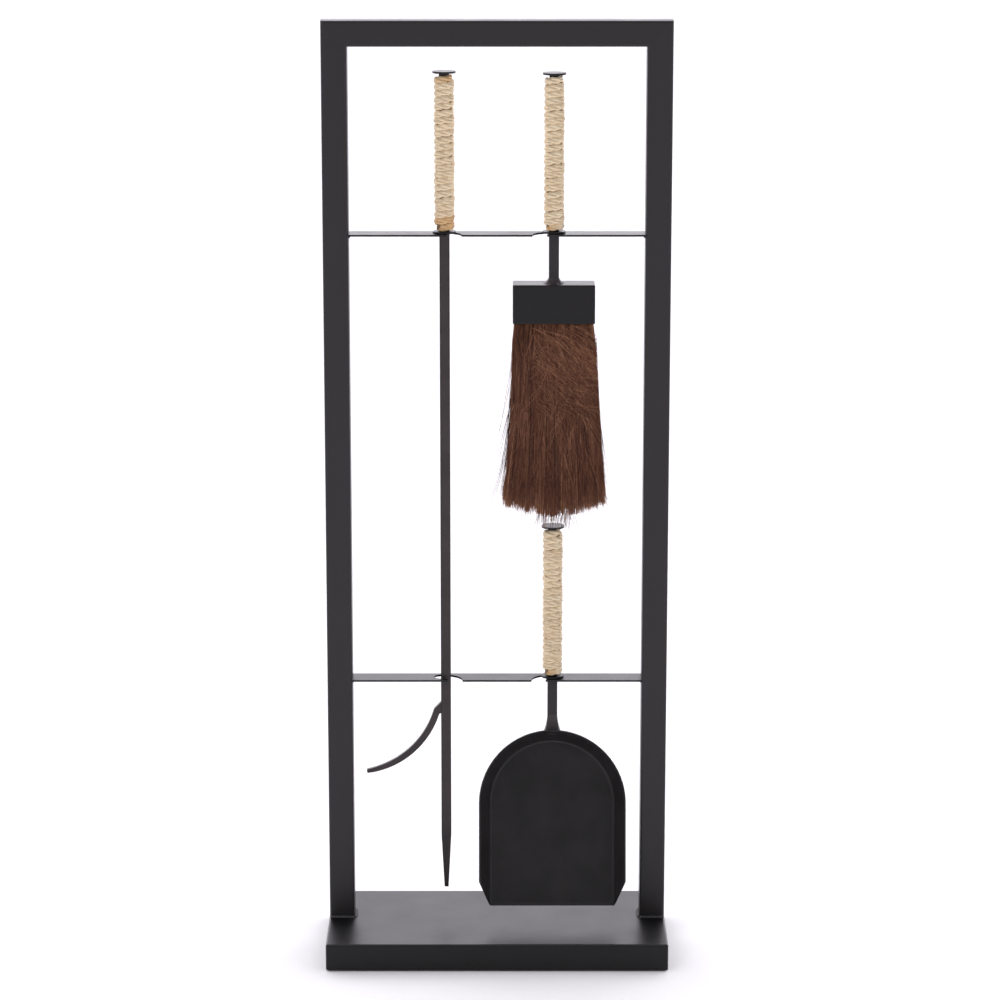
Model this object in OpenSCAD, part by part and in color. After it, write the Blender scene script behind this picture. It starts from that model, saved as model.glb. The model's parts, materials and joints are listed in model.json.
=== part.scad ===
// Fireplace tool set: a square-tube stand with two slotted racks that hang a poker,
// a hearth brush and an ash shovel by the collars on their square shafts.
// The origin is on the floor under the middle of the base, +X to the right and -Y to the front.

/* [Base] */
// Width of the base pan
base_w = 271; // [265:1:300]
// Depth of the base pan
base_d = 130; // [100:1:160]
// Height of the base pan without its pads
base_h = 21.6; // [16:0.2:30]
// Thickness of the base pan's folded sheet
base_sheet = 2.5; // [1.5:0.5:4]
// Outside radius of the base pan's folds
base_edge_r = 1.5; // [1:0.5:3]
// Width of the lip that is folded in under the base pan
lip_w = 22; // [18:1:30]
// Diameter of each pad under the base
pad_d = 10; // [8:1:16]
// Height of each pad under the base
pad_h = 0.8; // [0.6:0.1:2]

/* [Frame] */
// Outside width of the frame
frame_w = 270; // [250:1:290]
// Height of the frame's top above the floor
frame_top = 743; // [700:1:800]
// Outside width of the square tube
tube_w = 20; // [16:1:25]
// Wall of the square tube
tube_wall = 1.5; // [1:0.1:2]
// Outside corner radius of the square tube
tube_r = 1.8; // [1.6:0.1:3]
// How far the frame's front face is in front of the middle of the base
frame_lead = 1; // [0:0.5:10]

/* [Racks] */
// Height of the upper rack's top face
upper_rack_z = 578.5; // [560:0.5:600]
// Height of the lower rack's top face
lower_rack_z = 221.5; // [215:0.5:230]
// Thickness of the rack strips
rack_t = 1.5; // [1:0.1:3]
// Distance from the middle to each curved slot's centre
slot_x = 43; // [40:0.5:50]
// Radius of the middle line of a curved slot
slot_ring_r = 10; // [9.5:0.1:10.5]
// Width of a curved slot
slot_w = 11.4; // [11:0.1:12]
// Angle from a slot's mouth round to its closed end
slot_turn = 99; // [95:1:105]

/* [Tool shafts] */
// Width of the square bar
bar_w = 7.9; // [7:0.1:8.2]
// Corner radius of the square bar
bar_r = 0.9; // [0.5:0.1:1.5]
// Diameter of the knob and the collar discs
disc_d = 18; // [16:0.5:20]
// Thickness of the knob and the collar discs
disc_t = 1.5; // [1:0.1:2]
// Gap between a collar and the rack that it rests on
rest_gap = 0.1; // [0.05:0.05:0.3]
// Angle of the poker's shaft along its slot
poker_turn = 77; // [70:1:85]
// Angle of the brush's and the shovel's shafts along their slots
hang_turn = 97; // [90:1:98]

/* [Grips] */
// Width of the wound cord grip
grip_w = 15.8; // [15:0.1:17]
// Length of the wound cord grip
grip_len = 118; // [100:1:120]
// Bare shaft between the grip and the knob on the brush and the shovel
neck = 3; // [2:0.1:5]
// Bare shaft between the grip and the knob on the poker
poker_neck = 4.2; // [2:0.1:5]

/* [Poker] */
// Height of the poker's tip above the floor
poker_tip_z = 45.7; // [35:0.1:60]
// Length of the tapered point
poker_taper = 45; // [30:1:60]
// Width of the blunt tip
poker_tip_w = 3.2; // [2:0.1:5]
// Radius of the hook's curve
hook_r = 70.7; // [70:0.1:71.5]
// Width of the hook near the shaft
hook_w = 5.3; // [4:0.1:6]
// Width of the hook at its end
hook_tip_w = 3.1; // [2:0.1:4]
// Depth of the hook near the shaft, front to back
hook_d = 7; // [5:0.1:7.5]
// Depth of the hook at its end, front to back
hook_tip_d = 4.5; // [3:0.1:6]

/* [Brush] */
// Width of the ferrule
ferrule_w = 64; // [56:1:72]
// Depth of the ferrule
ferrule_d = 24; // [20:1:30]
// Height of the ferrule
ferrule_h = 30.6; // [25:0.1:36]
// Height of the ferrule's top above the floor
ferrule_top_z = 539.3; // [520:0.1:550]
// Sheet thickness of the ferrule
ferrule_sheet = 1.2; // [1:0.1:2]
// Length of the bristles below the ferrule
bristle_len = 153; // [120:1:155]
// Width across the bristle ends
bristle_end_w = 80; // [70:1:90]
// Depth across the bristle ends
bristle_end_d = 34; // [26:1:44]

/* [Shovel] */
// Half width of the scoop at its rim
scoop_rim_r = 57.6; // [54:0.1:60]
// Half width of the scoop's floor
scoop_floor_r = 50.6; // [44:0.1:52]
// Length of the scoop's straight sides, from its front edge to its round end's centre
scoop_side = 83.4; // [80:0.2:86]
// Length over which the side walls slope down to the front edge
scoop_cut = 20.6; // [14:0.2:30]
// Depth of the scoop from its rim to the back of its floor
scoop_d = 15.2; // [12:0.1:17]
// Sheet thickness of the scoop
scoop_sheet = 1.4; // [1:0.1:2]
// Angle by which the scoop's floor leans back from its front edge
scoop_tilt = 12.5; // [11.5:0.1:13.5]
// Height of the scoop's front edge above the ground
scoop_edge_z = 38.4; // [36:0.1:42]
// How far the scoop's front edge is in front of the shaft's middle
scoop_reach = 27.4; // [26:0.1:29]

/* [Hidden] */
$fn = 64;

coat = "#302e31";
cord = "#dec5a5";
hair = "#5a382b";
felt = "#1c1c1c";
beech = "#c79f6d";

// A sliver by which shapes overlap, and how far a cutting shape runs past what it cuts.
eps = 0.01;
past = 10;

base_top = pad_h + base_h;
pad_inset = 13;
frame_y = tube_w / 2 - frame_lead;
inner_w = frame_w - 2 * tube_w;
rail_z = frame_top - tube_w;
rack_d = tube_w;
foot_weld = 2.2;
rack_weld = 2;

// Each slot is an arc round a centre near the rack's middle line, from its mouth to its closed end.
slot_y = 0.5 - frame_lead;
slot_r_in = slot_ring_r - slot_w / 2;
slot_r_out = slot_ring_r + slot_w / 2;
slot_mouth = -60;
slot_step = 6;

// Points along an arc, about one every slot_step degrees.
function arc(centre, r, from, to) =
    let (steps = max(1, round(abs(to - from) / slot_step)))
    [for (i = [0:steps]) let (a = from + (to - from) * i / steps) centre + r * [cos(a), sin(a)]];

// Where a shaft stands at a given angle along its slot: side is -1 for the left slots, 1 for the right.
function slot_place(side, turn) =
    [side * (slot_x - slot_ring_r * cos(turn)), slot_y + slot_ring_r * sin(turn)];

poker_xy = slot_place(-1, poker_turn);
hang_xy = slot_place(1, hang_turn);

shaft_play = 0.05;

// The hook's arc in x and z from the poker's shaft: its centre, the angles at which its hollow edge
// and its outer edge start, the angle at which both end, and where its shoulder meets the shaft.
hook_centre = [-75.5, 212.75];
hook_start = -15;
hook_under = -16.8;
hook_end = -80.3;
hook_top_z = 201.3;
hook_steps = 24;

bristle_top_w = ferrule_w + 1.6;
bristle_top_d = ferrule_d + 1;
ferrule_z = ferrule_top_z - ferrule_h;
ferrule_weld = 4.5;
shovel_weld_w = 3.4;
shovel_weld_h = 16;

rim_y = scoop_sheet - scoop_d;
shovel_foot_z = scoop_edge_z + (scoop_side + scoop_floor_r) * cos(scoop_tilt)
                - scoop_sheet * sin(scoop_tilt);

// ---- shared shapes ----

module rounded_outline(w, h, r) {
    square([w - 2 * r, h], center = true);
    square([w, h - 2 * r], center = true);
    for (sx = [-1, 1], sy = [-1, 1])
        translate([sx * (w / 2 - r), sy * (h / 2 - r)]) circle(r);
}

// A block centred on x and y, standing on z = 0, with every edge rounded.
module rounded_block(w, d, h, r) {
    translate([0, 0, h / 2])
        intersection() {
            linear_extrude(h, center = true) rounded_outline(w, d, r);
            rotate([90, 0, 0]) linear_extrude(d, center = true) rounded_outline(w, h, r);
            rotate([90, 0, 90]) linear_extrude(w, center = true) rounded_outline(d, h, r);
        }
}

// Extrudes an outline drawn in x and z along y, centred on y = 0.
module along_y(depth) {
    rotate([90, 0, 0]) linear_extrude(depth, center = true) children();
}

// Extrudes an outline drawn in y and z along x, centred on x = 0.
module along_x(length) {
    rotate([90, 0, 90]) linear_extrude(length, center = true) children();
}

module tube_outline() {
    difference() {
        rounded_outline(tube_w, tube_w, tube_r);
        rounded_outline(tube_w - 2 * tube_wall, tube_w - 2 * tube_wall, tube_r - tube_wall);
    }
}

// One straight bead of weld: leg out along +x, rise up z, run centred on y.
module bead(leg, rise, run) {
    along_y(run) polygon([[0, 0], [leg, 0], [0, rise]]);
}

// Beads along the sides of a square bar: 0 is the right side, 90 the back, 180 the left, 270 the front.
module bead_ring(w, leg, rise, turns) {
    for (turn = turns)
        rotate(turn) translate([w / 2, 0, 0]) bead(leg, rise, w + leg);
}

// ---- stand ----

module base_pan() {
    color(coat)
        difference() {
            translate([0, 0, pad_h]) rounded_block(base_w, base_d, base_h, base_edge_r);
            translate([0, 0, pad_h + base_h / 2])
                cube([base_w - 2 * base_sheet, base_d - 2 * base_sheet, base_h - 2 * base_sheet],
                     center = true);
            translate([0, 0, pad_h])
                cube([base_w - 2 * lip_w, base_d - 2 * lip_w, 3 * base_sheet], center = true);
        }
}

module foot_pads() {
    color(felt)
        for (sx = [-1, 1], sy = [-1, 1])
            translate([sx * (base_w / 2 - pad_inset), sy * (base_d / 2 - pad_inset), 0])
                cylinder(h = pad_h, d = pad_d);
}

// An upright is cut at 45 degrees to meet the top rail; side is -1 for the left, 1 for the right.
module upright(side) {
    outer = side * frame_w / 2;
    inner = side * inner_w / 2;
    color(coat)
        intersection() {
            translate([side * (frame_w - tube_w) / 2, frame_y, base_top])
                linear_extrude(frame_top - base_top) tube_outline();
            translate([0, frame_y, 0]) along_y(tube_w)
                polygon([[outer, base_top], [inner, base_top], [inner, rail_z], [outer, frame_top]]);
        }
}

module left_upright() {
    upright(-1);
}

module right_upright() {
    upright(1);
}

module top_rail() {
    color(coat)
        intersection() {
            translate([0, frame_y, frame_top - tube_w / 2]) along_x(frame_w) tube_outline();
            translate([0, frame_y, 0]) along_y(tube_w)
                polygon([[-frame_w / 2, frame_top], [-inner_w / 2, rail_z],
                         [inner_w / 2, rail_z], [frame_w / 2, frame_top]]);
        }
}

// Each upright is welded to the base along its front, its back and its inner side.
module foot_welds() {
    color(coat)
        for (side = [-1, 1])
            translate([side * (frame_w - tube_w) / 2, frame_y, base_top])
                for (turn = [0, 90, 180])
                    rotate((side + 1) * 90 + turn - 90)
                        translate([tube_w / 2, 0, 0]) bead(foot_weld, foot_weld, tube_w - 2 * tube_r);
}

// The curved slot of the left side, round its own centre, with its mouth at angle 0.
module slot_outline() {
    end = slot_ring_r * [cos(slot_turn), sin(slot_turn)];
    polygon(concat(arc([0, 0], slot_r_out, slot_mouth, slot_turn),
                   arc(end, slot_w / 2, slot_turn + slot_step, slot_turn + 180 - slot_step),
                   arc([0, 0], slot_r_in, slot_turn, slot_mouth)));
}

module rack(top_z) {
    color(coat)
        translate([0, 0, top_z - rack_t])
            linear_extrude(rack_t)
                difference() {
                    translate([0, frame_y]) square([inner_w, rack_d], center = true);
                    translate([-slot_x, slot_y]) slot_outline();
                    translate([slot_x, slot_y]) mirror([1, 0]) slot_outline();
                }
}

module upper_rack() {
    rack(upper_rack_z);
}

module lower_rack() {
    rack(lower_rack_z);
}

// A bead under each end of each rack.
module rack_welds() {
    color(coat)
        for (top_z = [upper_rack_z, lower_rack_z], side = [-1, 1])
            translate([side * inner_w / 2, frame_y, top_z - rack_t])
                rotate((side + 1) * 90) mirror([0, 0, 1]) bead(rack_weld, rack_weld, rack_d - 2 * tube_r);
}

// ---- parts that all three tools share ----

module bar(low_z, high_z) {
    translate([0, 0, low_z]) linear_extrude(high_z - low_z) rounded_outline(bar_w, bar_w, bar_r);
}

// A hole for the bar, right through a piece that reaches from low_z to high_z.
module bar_hole(low_z, high_z) {
    hole_w = bar_w + 2 * shaft_play;
    translate([0, 0, low_z - past])
        linear_extrude(high_z - low_z + 2 * past) rounded_outline(hole_w, hole_w, bar_r);
}

function collar_z(rack_z) = rack_z + rest_gap;
function grip_z(rack_z) = collar_z(rack_z) + disc_t;
function knob_z(rack_z, bare) = grip_z(rack_z) + grip_len + bare;

module collar(rack_z) {
    color(coat)
        difference() {
            translate([0, 0, collar_z(rack_z)]) cylinder(h = disc_t, d = disc_d);
            bar_hole(collar_z(rack_z), collar_z(rack_z) + disc_t);
        }
}

module knob(rack_z, bare) {
    color(coat)
        translate([0, 0, knob_z(rack_z, bare)]) cylinder(h = disc_t, d = disc_d);
}

module grip_cord(rack_z) {
    wrap_r = (grip_w - bar_w) / 2 + bar_r;
    color(cord)
        difference() {
            translate([0, 0, grip_z(rack_z)])
                linear_extrude(grip_len) rounded_outline(grip_w, grip_w, wrap_r);
            bar_hole(grip_z(rack_z), grip_z(rack_z) + grip_len);
        }
}

// ---- poker ----

// The side view of the pointed bar, the same from the front and from the side.
module point_outline(high_z) {
    polygon([[-poker_tip_w / 2, poker_tip_z], [poker_tip_w / 2, poker_tip_z],
             [bar_w / 2, poker_tip_z + poker_taper], [bar_w / 2, high_z],
             [-bar_w / 2, high_z], [-bar_w / 2, poker_tip_z + poker_taper]]);
}

module poker_shaft() {
    high_z = knob_z(upper_rack_z, poker_neck);
    color(coat)
        translate(poker_xy)
            intersection() {
                bar(poker_tip_z, high_z);
                along_y(bar_w) point_outline(high_z);
                along_x(bar_w) point_outline(high_z);
            }
}

// A point on one edge of the hook: side is -1 for its hollow edge, 1 for its outer edge.
function hook_point(angle, side) =
    let (along = (angle - hook_start) / (hook_end - hook_start),
         half = (hook_w + (hook_tip_w - hook_w) * pow(along, 4)) / 2)
    hook_centre + (hook_r + side * half) * [cos(angle), sin(angle)];

function hook_edge(from, to, side) =
    [for (i = [0:hook_steps]) hook_point(from + (to - from) * i / hook_steps, side)];

module poker_hook() {
    far = -hook_point(hook_end, 0)[0];
    color(coat)
        translate(poker_xy)
            intersection() {
                along_y(hook_d)
                    polygon(concat([[-bar_w / 2, hook_top_z]],
                                   hook_edge(hook_start, hook_end, -1),
                                   hook_edge(hook_end, hook_under, 1),
                                   [[-bar_w / 2, hook_point(hook_under, 1)[1]]]));
                linear_extrude(2 * hook_top_z)
                    polygon([[0, -hook_d / 2], [0, hook_d / 2], [-far, hook_tip_d / 2],
                             [-far - past, hook_tip_d / 2], [-far - past, -hook_tip_d / 2],
                             [-far, -hook_tip_d / 2]]);
            }
}

module poker_collar() {
    translate(poker_xy) collar(upper_rack_z);
}

module poker_knob() {
    translate(poker_xy) knob(upper_rack_z, poker_neck);
}

module poker_grip_cord() {
    translate(poker_xy) grip_cord(upper_rack_z);
}

// ---- brush ----

module brush_shaft() {
    color(coat)
        translate(hang_xy) bar(ferrule_top_z, knob_z(upper_rack_z, neck));
}

module brush_collar() {
    translate(hang_xy) collar(upper_rack_z);
}

module brush_knob() {
    translate(hang_xy) knob(upper_rack_z, neck);
}

module brush_grip_cord() {
    translate(hang_xy) grip_cord(upper_rack_z);
}

module brush_weld() {
    color(coat)
        translate([hang_xy[0], hang_xy[1], ferrule_top_z])
            bead_ring(bar_w, ferrule_weld, ferrule_weld, [0:90:270]);
}

// The ferrule is a sheet box, open below.
module brush_ferrule() {
    edge_r = 1;
    color(coat)
        translate([hang_xy[0], hang_xy[1], ferrule_z])
            difference() {
                rounded_block(ferrule_w, ferrule_d, ferrule_h, edge_r);
                translate([0, 0, (ferrule_h - ferrule_sheet) / 2 - eps])
                    cube([ferrule_w - 2 * ferrule_sheet, ferrule_d - 2 * ferrule_sheet,
                          ferrule_h - ferrule_sheet + 2 * eps], center = true);
            }
}

// The wooden block that holds the bristles inside the ferrule.
module brush_block() {
    fit = 0.2;
    block_h = ferrule_h - ferrule_sheet - 2 * fit;
    color(beech)
        translate([hang_xy[0], hang_xy[1], ferrule_z + block_h / 2])
            cube([ferrule_w - 2 * ferrule_sheet - fit, ferrule_d - 2 * ferrule_sheet - fit, block_h],
                 center = true);
}

module brush_bristles() {
    slab = 1;
    round_r = 8;
    color(hair)
        translate([hang_xy[0], hang_xy[1], ferrule_z - bristle_len])
            hull() {
                linear_extrude(slab) rounded_outline(bristle_end_w, bristle_end_d, round_r, $fn = 32);
                translate([0, 0, bristle_len - slab])
                    linear_extrude(slab) rounded_outline(bristle_top_w, bristle_top_d, round_r, $fn = 32);
            }
}

// ---- shovel ----

// Puts a shape drawn round the middle of the scoop's front edge in its place under the shaft.
module scoop_place() {
    translate([0, -scoop_reach, scoop_edge_z]) rotate([-scoop_tilt, 0, 0]) children();
}

module shovel_shaft() {
    color(coat)
        translate(hang_xy)
            difference() {
                bar(shovel_foot_z, knob_z(lower_rack_z, neck));
                scoop_place() scoop_body(0, 0);
            }
}

module shovel_collar() {
    translate(hang_xy) collar(lower_rack_z);
}

module shovel_knob() {
    translate(hang_xy) knob(lower_rack_z, neck);
}

module shovel_grip_cord() {
    translate(hang_xy) grip_cord(lower_rack_z);
}

// The flare where the shaft is welded on to the scoop's round end, on all sides but the back.
module shovel_weld() {
    color(coat)
        translate(hang_xy)
            difference() {
                translate([0, 0, shovel_foot_z])
                    bead_ring(bar_w, shovel_weld_w, shovel_weld_h, [180:90:360]);
                scoop_place() scoop_body(0, 0);
            }
}

// A half-round-ended outline in x and z.
module scoop_outline(r, low_z) {
    translate([0, scoop_side]) circle(r, $fn = 96);
    translate([-r, low_z]) square([2 * r, scoop_side - low_z]);
}

// The scoop's bulk between its rim and its floor, made smaller all round by inset.
// The floor's upper side is at y = 0.
module scoop_body(inset, low_z) {
    hull() {
        translate([0, rim_y - inset + eps, 0]) along_y(2 * eps) scoop_outline(scoop_rim_r - inset, low_z);
        translate([0, scoop_sheet - inset - eps, 0]) along_y(2 * eps)
            scoop_outline(scoop_floor_r - inset, low_z);
    }
}

module shovel_blade() {
    slope = scoop_cut / -rim_y;
    color(coat)
        translate(hang_xy)
            scoop_place()
                difference() {
                    scoop_body(0, 0);
                    scoop_body(scoop_sheet, -past);
                    along_x(3 * scoop_rim_r)
                        polygon([[rim_y - past, scoop_cut + slope * past], [0, 0],
                                 [0, -past], [rim_y - past, -past]]);
                }
}

base_pan();
foot_pads();
left_upright();
right_upright();
top_rail();
foot_welds();
upper_rack();
lower_rack();
rack_welds();
poker_shaft();
poker_hook();
poker_collar();
poker_knob();
poker_grip_cord();
brush_shaft();
brush_collar();
brush_knob();
brush_grip_cord();
brush_weld();
brush_ferrule();
brush_block();
brush_bristles();
shovel_shaft();
shovel_collar();
shovel_knob();
shovel_grip_cord();
shovel_weld();
shovel_blade();
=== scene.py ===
import json
import math
import random

import bpy
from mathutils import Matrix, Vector, noise


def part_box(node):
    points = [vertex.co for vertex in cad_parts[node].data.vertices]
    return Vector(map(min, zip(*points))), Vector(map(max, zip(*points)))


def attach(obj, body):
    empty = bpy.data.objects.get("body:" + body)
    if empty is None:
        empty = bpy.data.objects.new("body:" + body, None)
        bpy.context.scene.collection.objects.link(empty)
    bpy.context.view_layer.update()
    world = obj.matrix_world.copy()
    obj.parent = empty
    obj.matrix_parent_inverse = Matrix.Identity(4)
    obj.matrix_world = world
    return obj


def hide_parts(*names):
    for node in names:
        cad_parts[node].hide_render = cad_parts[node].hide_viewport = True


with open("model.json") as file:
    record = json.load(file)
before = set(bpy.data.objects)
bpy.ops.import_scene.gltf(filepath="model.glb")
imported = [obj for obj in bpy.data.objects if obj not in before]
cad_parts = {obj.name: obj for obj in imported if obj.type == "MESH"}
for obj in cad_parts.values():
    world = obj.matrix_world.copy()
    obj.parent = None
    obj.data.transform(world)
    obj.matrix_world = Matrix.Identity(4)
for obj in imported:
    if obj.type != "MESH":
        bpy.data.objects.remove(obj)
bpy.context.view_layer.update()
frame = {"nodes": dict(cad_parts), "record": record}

MM = 0.001
X, Y, Z = Vector((1, 0, 0)), Vector((0, 1, 0)), Vector((0, 0, 1))
SLOT_OF = {row["node"]: row["material_slot"] for row in frame["record"]["subparts"]}
BODY_OF = {
    node: body
    for body, nodes in frame["record"]["behaviour"]["bodies"].items()
    for node in nodes
}
# The rounding of every square bar's corners.
BAR_CORNER = 0.9 * MM


def middle(node):
    """The middle of a CAD node's box."""
    low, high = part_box(node)
    return (low + high) / 2


def half_width(node):
    """Half the width of a CAD node's box, across the object."""
    low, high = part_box(node)
    return (high.x - low.x) / 2


# ---------------------------------------------------------------- camera and light

# Where the camera stands in metres, how many degrees down it looks, and its lens in millimetres.
CAMERA_PLACE = Vector((0.0, -2.634, 0.9642))
CAMERA_DOWN = 12.75
CAMERA_LENS = 123.6
CAMERA_SHIFT_X = 0.003

# How bright the room is: a bright backdrop behind the object, brightest near the horizon,
# a dimmer room in front of it, and a soft light overhead.
BACKDROP = 1.80
HORIZON = 1.60 * BACKDROP
FRONT_WALL = 0.22
OVERHEAD = 0.35
ROOM_TINT = (1.0, 0.970, 1.035)

# Each lamp's place and size in metres, and its power in watts; both aim at the object's middle.
LAMPS = {
    "key": ((-1.6, -2.4, 2.3), 1.6, 15),
    "fill": ((2.2, -1.6, 1.4), 1.4, 6),
}
LAMP_AIM = Vector((0, 0, 0.37))


def make_camera():
    """A camera level from side to side, which looks a little down at the object."""
    data = bpy.data.cameras.new("camera")
    data.lens = CAMERA_LENS
    data.sensor_width = 36
    data.shift_x = CAMERA_SHIFT_X
    data.clip_end = 100
    camera = bpy.data.objects.new("camera", data)
    camera.location = CAMERA_PLACE
    camera.rotation_euler = (math.radians(90 - CAMERA_DOWN), 0, 0)
    bpy.context.collection.objects.link(camera)
    bpy.context.scene.camera = camera


def make_lamp(name, place, size, power):
    """A soft round lamp that shines on the object."""
    data = bpy.data.lights.new(name, "AREA")
    data.shape = "DISK"
    data.size = size
    data.energy = power
    light = bpy.data.objects.new(name, data)
    light.location = place
    light.rotation_euler = (LAMP_AIM - Vector(place)).to_track_quat("-Z", "Y").to_euler()
    bpy.context.collection.objects.link(light)


def range_node(tree, value, low, high, to_low, to_high, curve="LINEAR"):
    """A node that maps a value's range from low to high onto the range from to_low to to_high."""
    node = tree.nodes.new("ShaderNodeMapRange")
    node.interpolation_type = curve
    numbers = {"From Min": low, "From Max": high, "To Min": to_low, "To Max": to_high}
    for key, number in numbers.items():
        node.inputs[key].default_value = number
    tree.links.new(value, node.inputs["Value"])
    return node


def make_studio():
    """The room, as a light whose strength fades with direction, and the two lamps in it."""
    scene = bpy.context.scene
    scene.view_settings.view_transform = "Standard"
    world = bpy.data.worlds.new("studio")
    scene.world = world
    world.use_nodes = True
    tree = world.node_tree
    parts = tree.nodes.new("ShaderNodeSeparateXYZ")
    tree.links.new(tree.nodes.new("ShaderNodeTexCoord").outputs["Generated"], parts.inputs["Vector"])
    soft = "SMOOTHSTEP"
    rise = range_node(tree, parts.outputs["Z"], 0.12, 0.35, HORIZON, BACKDROP, soft)
    walls = range_node(tree, parts.outputs["Y"], -0.6, 0.6, FRONT_WALL, BACKDROP, soft)
    tree.links.new(rise.outputs["Result"], walls.inputs["To Max"])
    ceiling = range_node(tree, parts.outputs["Z"], 0.45, 0.90, 0.0, OVERHEAD, soft)
    total = tree.nodes.new("ShaderNodeMath")
    tree.links.new(walls.outputs["Result"], total.inputs[0])
    tree.links.new(ceiling.outputs["Result"], total.inputs[1])
    tree.links.new(total.outputs["Value"], tree.nodes["Background"].inputs["Strength"])
    tree.nodes["Background"].inputs["Color"].default_value = (*ROOM_TINT, 1)
    for name, (place, size, power) in LAMPS.items():
        make_lamp(name, place, size, power)


def make_floor():
    """A level floor that reaches past the edges of every view."""
    reach = 40
    mesh = bpy.data.meshes.new("floor")
    corners = [(-reach, -reach, 0), (reach, -reach, 0), (reach, reach, 0), (-reach, reach, 0)]
    mesh.from_pydata(corners, [], [(0, 1, 2, 3)])
    floor = bpy.data.objects.new("floor", mesh)
    bpy.context.collection.objects.link(floor)
    mesh.materials.append(floor_material())


# ---------------------------------------------------------------- materials

# Every colour is linear RGB. The edges of a coat get one colour of their own, painted in: a painted
# highlight on the black coat and the scoop's coat, and a darker edge on the lighter bar coat.
PAINTED_EDGE_TONE = (0.022, 0.020, 0.021)
COAT_IOR = 1.36


class Nodes:
    """Short names for building one material's node tree."""

    def __init__(self, name):
        self.material = bpy.data.materials.new(name)
        self.material.use_nodes = True
        self.tree = self.material.node_tree
        self.shader = self.tree.nodes["Principled BSDF"]

    def add(self, kind, **values):
        node = self.tree.nodes.new(kind)
        for key, value in values.items():
            if key in node.inputs:
                node.inputs[key].default_value = value
            else:
                setattr(node, key, value)
        return node

    def link(self, source, target):
        self.tree.links.new(source, target)

    def noise(self, vector, scale, detail=4.0, roughness=0.55):
        node = self.add("ShaderNodeTexNoise", Scale=scale, Detail=detail, Roughness=roughness)
        self.link(vector, node.inputs["Vector"])
        return node.outputs["Fac"]

    def ramp(self, fac, stops):
        node = self.add("ShaderNodeValToRGB")
        elements = node.color_ramp.elements
        while len(elements) < len(stops):
            elements.new(0.5)
        for element, (place, colour) in zip(elements, stops):
            element.position = place
            element.color = (*colour, 1)
        self.link(fac, node.inputs["Fac"])
        return node.outputs["Color"]

    def feed(self, socket, value):
        """Links a socket to another node's output, or gives it a number or a colour."""
        if isinstance(value, bpy.types.NodeSocket):
            self.link(value, socket)
        elif isinstance(value, tuple):
            socket.default_value = (*value, 1)
        else:
            socket.default_value = value

    def mix(self, fac, first, second, blend="MIX"):
        """Mixes two colours: a mix node's inputs 6 and 7 and its output 2 are the ones for colour."""
        node = self.add("ShaderNodeMix", data_type="RGBA", blend_type=blend)
        self.feed(node.inputs[0], fac)
        self.feed(node.inputs[6], first)
        self.feed(node.inputs[7], second)
        return node.outputs[2]

    def map_range(self, value, low, high, to_low, to_high):
        return range_node(self.tree, value, low, high, to_low, to_high).outputs["Result"]

    def scaled(self, vector, scale):
        node = self.add("ShaderNodeMapping", Scale=scale)
        self.link(vector, node.inputs["Vector"])
        return node.outputs["Vector"]

    def bump(self, height, distance, strength=1.0, normal=None):
        node = self.add("ShaderNodeBump", Strength=strength, Distance=distance)
        self.link(height, node.inputs["Height"])
        if normal is not None:
            self.link(normal, node.inputs["Normal"])
        return node.outputs["Normal"]

    def place(self):
        """Where on the object a point is, in metres."""
        return self.add("ShaderNodeTexCoord").outputs["Object"]

    def set(self, **sockets):
        """Feeds the shader's sockets, named with underscores for spaces."""
        for name, value in sockets.items():
            self.feed(self.shader.inputs[name.replace("_", " ")], value)


def floor_material():
    n = Nodes("pale_floor")
    mottle = n.noise(n.place(), 1.5)
    n.set(Base_Color=n.ramp(mottle, [(0.3, (0.92, 0.92, 0.92)), (0.7, (0.94, 0.94, 0.94))]))
    n.set(Roughness=0.9)
    n.set(Specular_IOR_Level=0.1)
    return n.material


def powder_coat(name, dark, light):
    """Satin black powder coat: fine orange peel, faint mottling, and one colour painted on its edges, a
    painted highlight on the black coat.
    """
    n = Nodes(name)
    place = n.place()
    mottle = n.noise(place, 35, detail=3)
    grain = n.noise(place, 900, detail=2)
    # Pointiness picks the edges; the colour mixed in there is a painted highlight, not wear.
    edge = n.map_range(n.add("ShaderNodeNewGeometry").outputs["Pointiness"], 0.52, 0.62, 0, 1)
    body = n.ramp(mottle, [(0.35, dark), (0.65, light)])
    n.set(Base_Color=n.mix(edge, body, PAINTED_EDGE_TONE), IOR=COAT_IOR)
    cloudy = n.map_range(mottle, 0.3, 0.7, 0.34, 0.41)
    grainy = n.map_range(grain, 0.3, 0.7, 0.30, 0.44)
    n.set(Roughness=n.mix(0.25, cloudy, grainy))
    peel = n.noise(place, 420, detail=2)
    soft = n.bump(peel, 0.00006, 0.55)
    n.set(Normal=n.bump(grain, 0.00003, 0.35, soft))
    return n.material


def weld_coat(name, dark, light):
    """The same coat over a weld: a little rougher, with spatter."""
    n = Nodes(name)
    place = n.place()
    lumps = n.noise(place, 700, detail=3)
    n.set(Base_Color=n.ramp(lumps, [(0.35, dark), (0.7, light)]))
    n.set(Roughness=n.map_range(lumps, 0.3, 0.7, 0.36, 0.50))
    n.set(Normal=n.bump(lumps, 0.0002, 0.5))
    return n.material


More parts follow.
